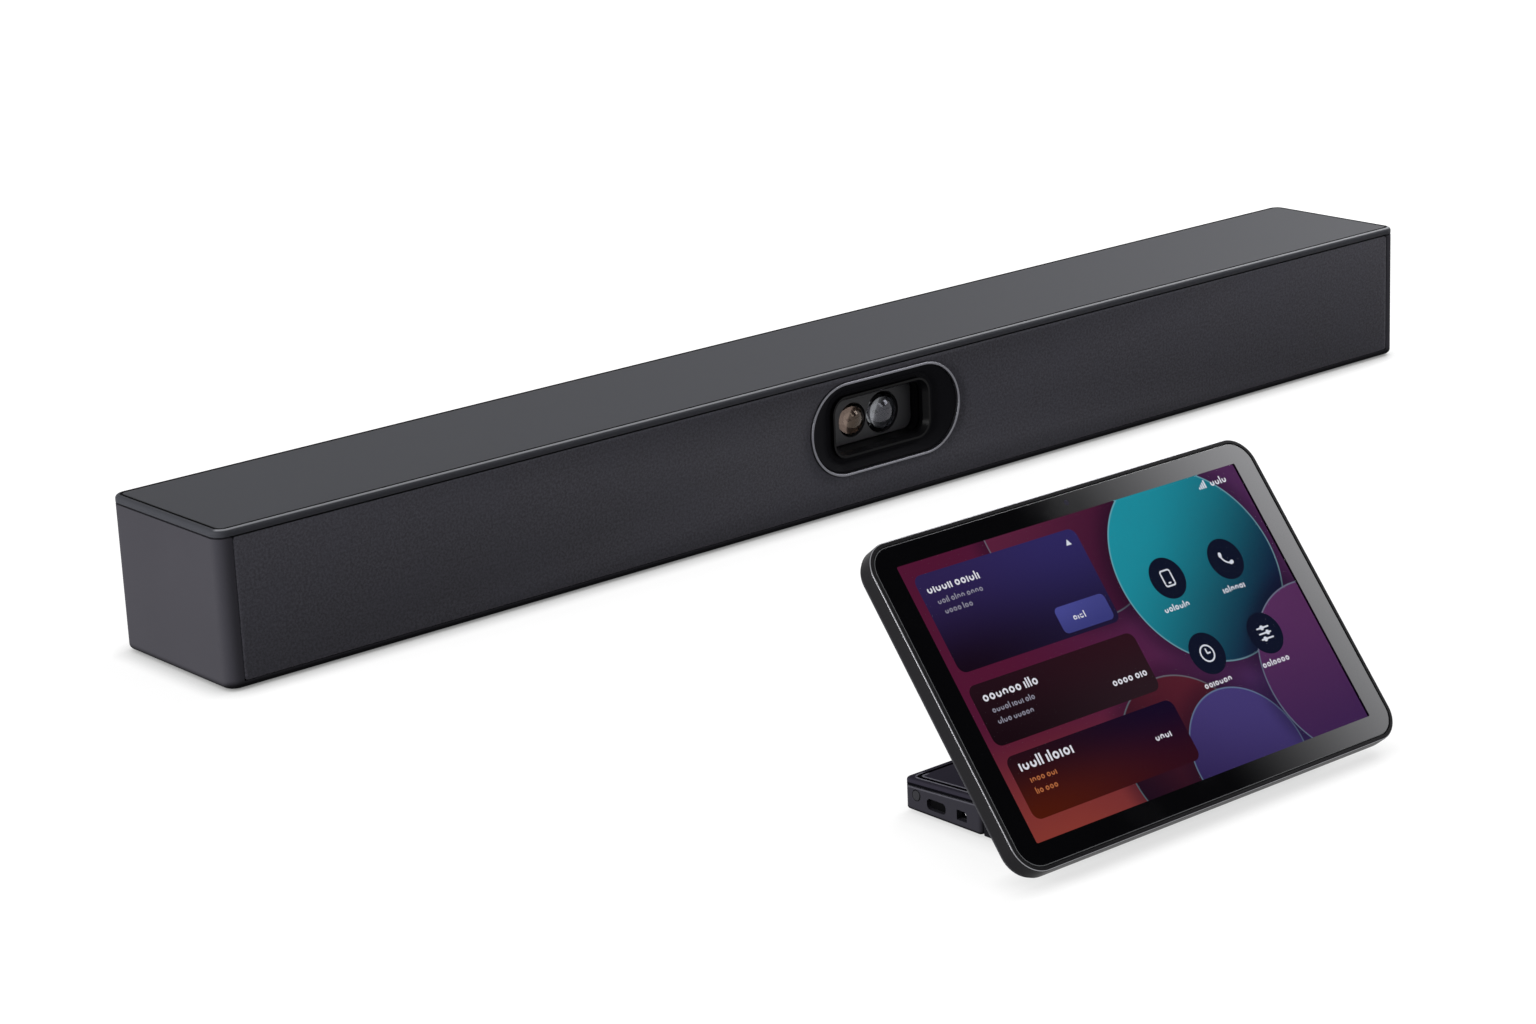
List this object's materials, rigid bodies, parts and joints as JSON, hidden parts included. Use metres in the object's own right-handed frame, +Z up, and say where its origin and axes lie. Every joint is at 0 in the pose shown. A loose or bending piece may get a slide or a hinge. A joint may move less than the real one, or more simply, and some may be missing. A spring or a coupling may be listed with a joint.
{
  "type": "conferencing bar with desk touch console",
  "caption": "Long sound and camera bar with a cloth front and lens window, and a separate tilting touch console on a flat foot, for meeting calls.",
  "frame": {"origin": "middle of the set's footprint on the desk: half the bar's length across, and half way from the console's front edge to the bar's back", "axes": "+X to the right along the bar as its front is faced, +Y from the console towards the bar's back, +Z up"},
  "size_m": [0.717, 0.4618, 0.1062],
  "materials": {
    "bar_shell": "fine satin charcoal plastic",
    "bar_cover": "fine satin charcoal plastic",
    "cloth": "fine woven acoustic cloth, charcoal",
    "grille_plastic": "black moulded plastic",
    "bright_trim": "satin grey trim",
    "black_gloss": "gloss black plastic",
    "black_plastic": "black plastic",
    "lens_metal": "black anodised",
    "lens_glass": "coated glass",
    "board": "circuit board with solder mask",
    "steel": "plain steel",
    "zinc_screw": "zinc plated",
    "sink": "extruded",
    "brass": "knurled insert",
    "rubber": "moulded rubber",
    "cone_paper": "coated paper",
    "foam": "foam",
    "magnet": "ferrite and steel",
    "socket_metal": "plated shell",
    "socket_plastic": "black socket",
    "button_plastic": "satin grey plastic",
    "base_plastic": "satin charcoal plastic",
    "neck_cast": "painted die casting",
    "frame_metal": "satin grey paint",
    "cover_glass": "flat polished glass",
    "picture": "lit colour display",
    "back_plastic": "satin charcoal plastic",
    "sensor": "smoked sensor window"
  },
  "bodies": {
    "bar": {"bar_housing": "bar_shell", "rear_panel": "bar_shell", "bar_top_cover": "bar_cover", "front_cloth": "cloth", "front_grille": "grille_plastic", "bar_screws": "zinc_screw", "bar_feet": "rubber", "window_ring": "bright_trim", "window_dish": "black_gloss", "camera_hood": "black_plastic", "lens_plate": "black_plastic", "main_lens_barrel": "lens_metal", "side_lens_barrel": "lens_metal", "main_lens_glass": "lens_glass", "side_lens_glass": "lens_glass", "camera_board": "board", "camera_bracket": "steel", "shutter_motor": "steel", "shutter_guide": "black_plastic", "speaker_gaskets": "foam", "speaker_baskets": "black_plastic", "speaker_cones": "cone_paper", "speaker_surrounds": "rubber", "speaker_magnets": "magnet", "speaker_boxes": "black_plastic", "mic_boards": "board", "mic_capsules": "socket_metal", "main_board": "board", "heat_sink": "sink", "network_socket": "socket_plastic", "video_sockets": "socket_metal", "usb_a_socket": "socket_metal", "rear_usb_c_socket": "socket_metal", "power_inlet": "socket_plastic", "rear_bay": "black_plastic", "bar_button_switch": "socket_plastic", "wall_inserts": "brass", "tripod_insert": "brass"},
    "console_base": {"base_tray": "base_plastic", "base_lid": "base_plastic", "hinge_neck": "neck_cast", "hinge_shaft": "steel", "base_board": "board", "side_usb_c_socket": "socket_metal", "side_power_jack": "socket_plastic", "ballast": "steel", "base_feet": "rubber", "base_screws": "zinc_screw"},
    "console_screen": {"screen_frame": "frame_metal", "cover_glass": "cover_glass", "picture_panel": "picture", "screen_back_cover": "back_plastic", "screen_board": "board", "light_sensor": "sensor", "hinge_lugs": "steel", "lug_screws": "zinc_screw"},
    "shutter": {"shutter_blade": "black_plastic"},
    "shutter_drive": {"shutter_gear": "button_plastic"},
    "bar_key": {"bar_button": "button_plastic"},
    "console_key": {"side_button": "button_plastic"}
  },
  "joints": [
    {"name": "console_place", "type": "slide", "parent": "bar", "child": "console_base", "axis": [0, -1, 0], "range_m": [-0.15, 0.1]},
    {"name": "screen_tilt", "type": "hinge", "parent": "console_base", "child": "console_screen", "pos_m": [-0.1856, -0.2094, 0.009], "axis": [1, 0, 0], "range_deg": [-23, 6]},
    {"name": "shutter_slide", "type": "slide", "parent": "bar", "child": "shutter", "axis": [-1, 0, 0], "range_m": [0, 0.052]},
    {"name": "shutter_gear_spin", "type": "hinge", "parent": "bar", "child": "shutter_drive", "pos_m": [0.042, 0.1565, 0.02342], "axis": [0, -1, 0], "range_deg": [-3, 535]},
    {"name": "bar_button_press", "type": "slide", "parent": "bar", "child": "bar_key", "axis": [0, -1, 0], "range_m": [0, 0.0008], "stiffness_N_per_m": 900, "springref_m": -0.0006},
    {"name": "side_button_press", "type": "slide", "parent": "console_base", "child": "console_key", "axis": [1, 0, 0], "range_m": [0, 0.0006], "stiffness_N_per_m": 900, "springref_m": -0.0006}
  ],
  "couplings": [
    {"joint": "shutter_gear_spin", "follows": "shutter_slide", "rad_per_m": 178.57}
  ]
}
